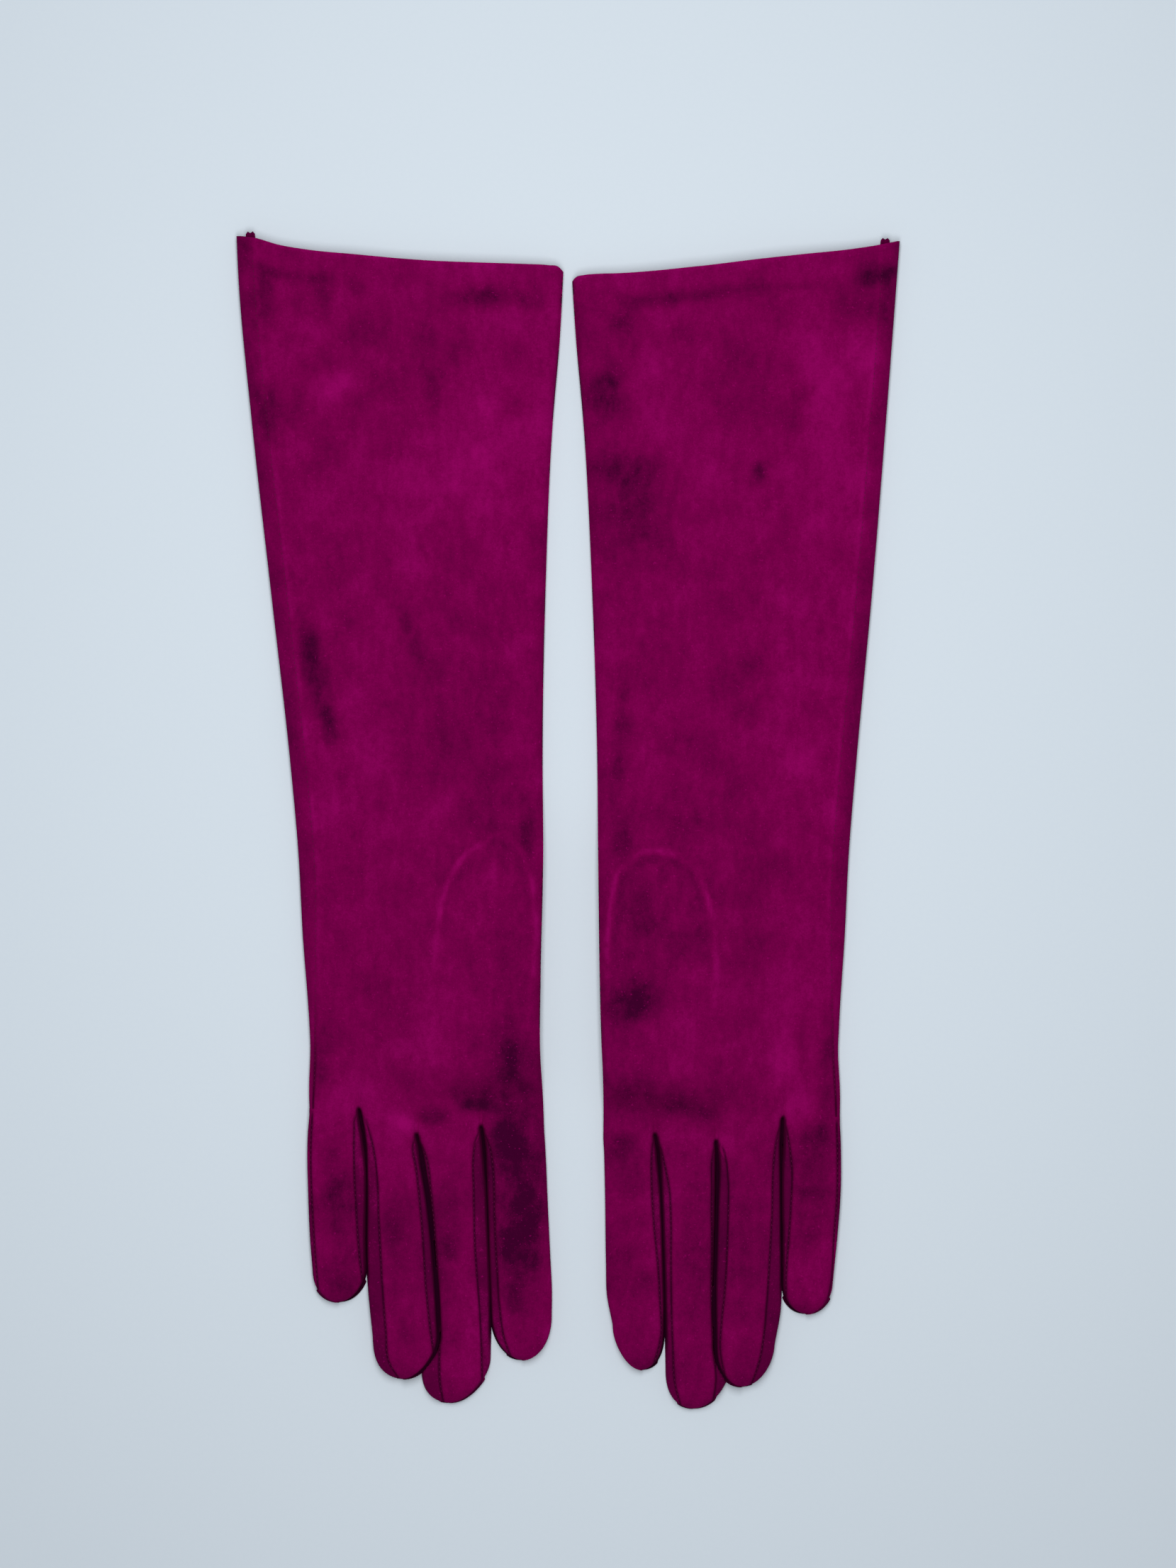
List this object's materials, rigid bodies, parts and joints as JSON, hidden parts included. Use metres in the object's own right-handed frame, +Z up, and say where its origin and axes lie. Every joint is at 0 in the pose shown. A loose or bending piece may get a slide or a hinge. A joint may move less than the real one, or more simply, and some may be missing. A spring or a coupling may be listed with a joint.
{
  "type": "opera gloves",
  "caption": "Pair of elbow-length unlined magenta suede opera gloves laid flat, backs up, thumbs folded under, with flared slanted cuffs and sewn-in side strips between the fingers.",
  "frame": {"origin": "on the table under the middle of the pair's box", "axes": "+X from the right-hand glove to the left-hand glove, +Y along the arms from fingertips to cuffs, +Z up from the table through the backs of the hands"},
  "size_m": [0.2266, 0.4018, 0.0147],
  "materials": {
    "suede": "suede, magenta, napped on the outside",
    "suede_side": "suede, magenta, narrow side strips in shade",
    "suede_hem": "suede, magenta, smooth grain side showing at the turned-in hem"
  },
  "bodies": {
    "right_sleeve": {"right_sleeve_back": "suede", "right_sleeve_palm": "suede", "right_hem_back": "suede_hem", "right_hem_palm": "suede_hem"},
    "right_hand": {"right_hand_back": "suede", "right_hand_palm": "suede", "right_thumb_root": "suede"},
    "right_little": {"right_little_back": "suede", "right_little_palm": "suede", "right_little_fourchette_inner": "suede_side"},
    "right_ring": {"right_ring_back": "suede", "right_ring_palm": "suede", "right_ring_fourchette_inner": "suede_side", "right_ring_fourchette_outer": "suede_side"},
    "right_middle": {"right_middle_back": "suede", "right_middle_palm": "suede", "right_middle_fourchette_inner": "suede_side", "right_middle_fourchette_outer": "suede_side"},
    "right_index": {"right_index_back": "suede", "right_index_palm": "suede", "right_index_fourchette_outer": "suede_side"},
    "right_thumb": {"right_thumb": "suede"},
    "left_sleeve": {"left_sleeve_back": "suede", "left_sleeve_palm": "suede", "left_hem_back": "suede_hem", "left_hem_palm": "suede_hem"},
    "left_hand": {"left_hand_back": "suede", "left_hand_palm": "suede", "left_thumb_root": "suede"},
    "left_little": {"left_little_back": "suede", "left_little_palm": "suede", "left_little_fourchette_inner": "suede_side"},
    "left_ring": {"left_ring_back": "suede", "left_ring_palm": "suede", "left_ring_fourchette_inner": "suede_side", "left_ring_fourchette_outer": "suede_side"},
    "left_middle": {"left_middle_back": "suede", "left_middle_palm": "suede", "left_middle_fourchette_inner": "suede_side", "left_middle_fourchette_outer": "suede_side"},
    "left_index": {"left_index_back": "suede", "left_index_palm": "suede", "left_index_fourchette_outer": "suede_side"},
    "left_thumb": {"left_thumb": "suede"}
  },
  "joints": [
    {"name": "right_wrist", "type": "hinge", "parent": "right_sleeve", "child": "right_hand", "pos_m": [-0.05162, 0.01642, 0.0042], "axis": [0.9996, 0.0298, 0], "range_deg": [-60, 70]},
    {"name": "right_little_knuckle", "type": "hinge", "parent": "right_hand", "child": "right_little", "pos_m": [-0.07942, -0.10178, 0.0042], "axis": [0.9994, 0.0351, 0], "range_deg": [-25, 80]},
    {"name": "right_ring_knuckle", "type": "hinge", "parent": "right_hand", "child": "right_ring", "pos_m": [-0.06116, -0.10624, 0.0042], "axis": [0.9983, 0.0577, 0], "range_deg": [-25, 80]},
    {"name": "right_middle_knuckle", "type": "hinge", "parent": "right_hand", "child": "right_middle", "pos_m": [-0.04032, -0.10882, 0.0042], "axis": [0.9988, 0.049, 0], "range_deg": [-25, 80]},
    {"name": "right_index_knuckle", "type": "hinge", "parent": "right_hand", "child": "right_index", "pos_m": [-0.01877, -0.10597, 0.0042], "axis": [0.9991, 0.042, 0], "range_deg": [-25, 80]},
    {"name": "right_thumb_swing", "type": "hinge", "parent": "right_hand", "child": "right_thumb", "pos_m": [-0.01426, -0.02848, 0.003], "axis": [0.9506, 0.0284, 0.309], "range_deg": [0, 55]},
    {"name": "left_wrist", "type": "hinge", "parent": "left_sleeve", "child": "left_hand", "pos_m": [0.05426, 0.01286, 0.0042], "axis": [0.9999, -0.0155, 0], "range_deg": [-60, 70]},
    {"name": "left_little_knuckle", "type": "hinge", "parent": "left_hand", "child": "left_little", "pos_m": [0.08286, -0.10492, 0.0042], "axis": [0.9995, -0.0312, 0], "range_deg": [-25, 80]},
    {"name": "left_ring_knuckle", "type": "hinge", "parent": "left_hand", "child": "left_ring", "pos_m": [0.06206, -0.1096, 0.0042], "axis": [0.9997, -0.0225, 0], "range_deg": [-25, 80]},
    {"name": "left_middle_knuckle", "type": "hinge", "parent": "left_hand", "child": "left_middle", "pos_m": [0.04031, -0.11246, 0.0042], "axis": [1, -0.0016, 0], "range_deg": [-25, 80]},
    {"name": "left_index_knuckle", "type": "hinge", "parent": "left_hand", "child": "left_index", "pos_m": [0.02132, -0.10997, 0.0042], "axis": [0.9999, 0.0124, 0], "range_deg": [-25, 80]},
    {"name": "left_thumb_swing", "type": "hinge", "parent": "left_hand", "child": "left_thumb", "pos_m": [0.01755, -0.03257, 0.003], "axis": [0.9509, -0.0148, -0.309], "range_deg": [0, 55]},
    {"name": "left_glove_lift", "type": "slide", "parent": "right_sleeve", "child": "left_sleeve", "axis": [0, 0, 1], "range_m": [0, 0.12]}
  ]
}
